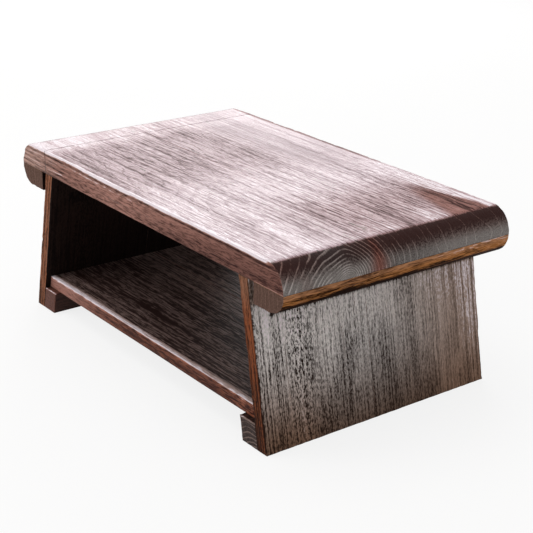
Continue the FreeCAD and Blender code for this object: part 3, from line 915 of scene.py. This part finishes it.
def straight_log(pith_across, pith_through):
    """A log whose pith runs straight along the board."""

    def from_pith(along, across, through):
        return np.stack([along, across - pith_across, through - pith_through], -1)

    return from_pith


def front_log(along, across, through):
    """The log of the front board and the left end board: its pith lies low and far forward at the left, rises
    to the upper face and moves back towards the right end by smooth steps. Its rings are wider in front."""
    share = ramp(along, -230 * MM, 150 * MM)
    pith_across = (-120 + 37 * share) * MM
    pith_through = (150 + 54 * share) * MM
    across = across - pith_across
    squeeze = 1 - 0.45 * share * ramp(-across, -12 * MM, 35 * MM)
    return np.stack([along, across * squeeze, through - pith_through], -1)


def place(piece, body, *nodes):
    """Put a piece on its body in place of its nodes."""
    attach(piece, body)
    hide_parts(*nodes)


def add_top():
    """The three boards of the top."""
    rear_log = straight_log(REAR_PITH_Y, REAR_PITH_Z)
    for node, pith, joints in (
        ("top_front_board", front_log, (LEFT, BACK, BOTTOM)),
        ("top_rear_board", rear_log, (LEFT, FRONT, BOTTOM)),
        ("left_end_board", front_log, (RIGHT, BOTTOM)),
    ):
        piece = board(node, top_wood, TOP_AXES, pith, TOP_ARRIS, joints, top_paint, ROLLED, top_bend)
        place(piece, "frame", node)


def add_cleats():
    """The cleats under both ends of the top."""
    for side, sign in (("left", -1), ("right", 1)):
        node = side + "_end_cleat"
        pith = straight_log(sign * CLEAT_PITH_X, CLEAT_PITH_Z)
        piece = board(node, cleat_wood, CLEAT_AXES, pith, CLEAT_ARRIS, [TOP], cleat_paint, ROLLED, cleat_bend)
        place(piece, "frame", node)


def add_legs():
    """The leaning legs of two boards each, and their foot rails."""
    for side, sign in (("left", -1), ("right", 1)):
        lean = LegLean(sign)
        for part, across, joint in (("front", -LEG_PITH_Y, BACK), ("rear", LEG_PITH_Y, FRONT)):
            node = f"{side}_leg_{part}_board"
            pith = straight_log(across, sign * LEG_PITH_X)
            joints = (joint, BOTTOM, TOP)
            piece = board(node, leg_wood, LEG_AXES, pith, LEG_ARRIS, joints, leg_paint, lean=lean)
            place(piece, "frame", node)
        node = side + "_foot_rail"
        pith = straight_log(sign * RAIL_PITH_X, RAIL_PITH_Z)
        piece = board(node, rail_wood, CLEAT_AXES, pith, RAIL_ARRIS, [BOTTOM], rail_paint, lean=lean)
        place(piece, "frame", node)
    return lean


def add_shelf(lean):
    """The two boards of the loose shelf."""
    spread = ShelfSpread(lean)
    for part, across, joint in (("front", SHELF_FRONT_PITH_Y, BACK), ("rear", SHELF_REAR_PITH_Y, FRONT)):
        node = f"shelf_{part}_board"
        pith = straight_log(across, SHELF_PITH_Z)
        joints = (joint, BOTTOM, LEFT, RIGHT)
        piece = board(node, shelf_wood, TOP_AXES, pith, SHELF_ARRIS, joints, shelf_paint, lean=spread)
        place(piece, "shelf", node)


def dress_fastenings():
    """The dowels and screws keep their solids and get their own materials."""
    for ending, material in (("dowels", dowel_beech()), ("screws", zinc_steel())):
        for name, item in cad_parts.items():
            if name.endswith(ending):
                item.data.materials.clear()
                item.data.materials.append(material)


# Stage

def white_to_camera(shader, light, strength):
    """Mix a surface's own light with plain white for rays from the camera, mirrors and glass."""
    path = shader.tree.nodes.new("ShaderNodeLightPath")
    seen = shader.math("MAXIMUM", path.outputs["Is Camera Ray"], path.outputs["Is Glossy Ray"])
    seen = shader.math("MAXIMUM", seen, path.outputs["Is Transmission Ray"])
    white = shader.node("ShaderNodeEmission", (1, 1, 1, 1), 1.0)
    return shader.node("ShaderNodeMixShader", shader.math("MULTIPLY", seen, strength), light, white)


def add_floor():
    """A pale floor that keeps a faint shadow."""
    mesh = bpy.data.meshes.new("floor")
    corners = [(x * FLOOR_REACH, y * FLOOR_REACH, 0) for x, y in ((-1, -1), (1, -1), (1, 1), (-1, 1))]
    mesh.from_pydata(corners, [], [(0, 1, 2, 3)])
    floor = bpy.data.objects.new("floor", mesh)
    bpy.context.scene.collection.objects.link(floor)
    shader = Shader("pale_floor")
    grain = shader.noise(shader.object_place(), (3, 3, 3))
    colour = shader.blend(grain, srgb(240, 239, 238), srgb(246, 245, 244))
    diffuse = shader.node("ShaderNodeBsdfDiffuse", colour)
    mesh.materials.append(shader.output(white_to_camera(shader, diffuse, FLOOR_WHITE)))


def add_world(strength):
    """Even white light from all round, plain white to the camera, mirrors and glass."""
    world = bpy.data.worlds.new("studio")
    bpy.context.scene.world = world
    world.use_nodes = True
    tree = world.node_tree
    background = tree.nodes["Background"]
    background.inputs["Color"].default_value = (1, 1, 1, 1)
    path = tree.nodes.new("ShaderNodeLightPath")
    seen = path.outputs["Is Camera Ray"]
    for name in ("Is Glossy Ray", "Is Transmission Ray"):
        either = tree.nodes.new("ShaderNodeMath")
        either.operation = "MAXIMUM"
        tree.links.new(seen, either.inputs[0])
        tree.links.new(path.outputs[name], either.inputs[1])
        seen = either.outputs[0]
    level = tree.nodes.new("ShaderNodeMapRange")
    tree.links.new(seen, level.inputs["Value"])
    level.inputs["To Min"].default_value = strength
    level.inputs["To Max"].default_value = 1.0
    tree.links.new(level.outputs[0], background.inputs["Strength"])


def add_lamp(name, place, target, size, power):
    """A square soft lamp at a place, turned to a target."""
    lamp = bpy.data.lights.new(name, "AREA")
    lamp.size = size
    lamp.energy = power
    item = bpy.data.objects.new(name, lamp)
    item.location = place
    item.rotation_euler = (Vector(target) - Vector(place)).to_track_quat("-Z", "Y").to_euler()
    bpy.context.scene.collection.objects.link(item)


def add_camera():
    """The viewpoint of the photograph: yaw from +Y towards -X, pitch down, and a slight roll."""
    yaw, pitch, tilt = (math.radians(angle) for angle in (CAMERA_YAW, CAMERA_PITCH, CAMERA_ROLL))
    forward = Vector((-math.sin(yaw) * math.cos(pitch), math.cos(yaw) * math.cos(pitch), -math.sin(pitch)))
    level = Vector((math.cos(yaw), math.sin(yaw), 0))
    upward = level.cross(forward)
    right = math.cos(tilt) * level + math.sin(tilt) * upward
    up = math.cos(tilt) * upward - math.sin(tilt) * level
    camera = bpy.data.objects.new("camera", bpy.data.cameras.new("camera"))
    camera.data.sensor_width = CAMERA_SENSOR
    camera.data.lens = CAMERA_LENS
    turn = Matrix((right, up, -forward)).transposed().to_4x4()
    camera.matrix_world = Matrix.Translation(CAMERA_PLACE) @ turn
    bpy.context.scene.collection.objects.link(camera)
    bpy.context.scene.camera = camera


add_top()
add_cleats()
add_shelf(add_legs())
dress_fastenings()
add_floor()
add_world(WORLD_LIGHT)
for lamp in LAMPS:
    add_lamp(**lamp)
add_camera()
bpy.context.scene.view_settings.view_transform = "Standard"
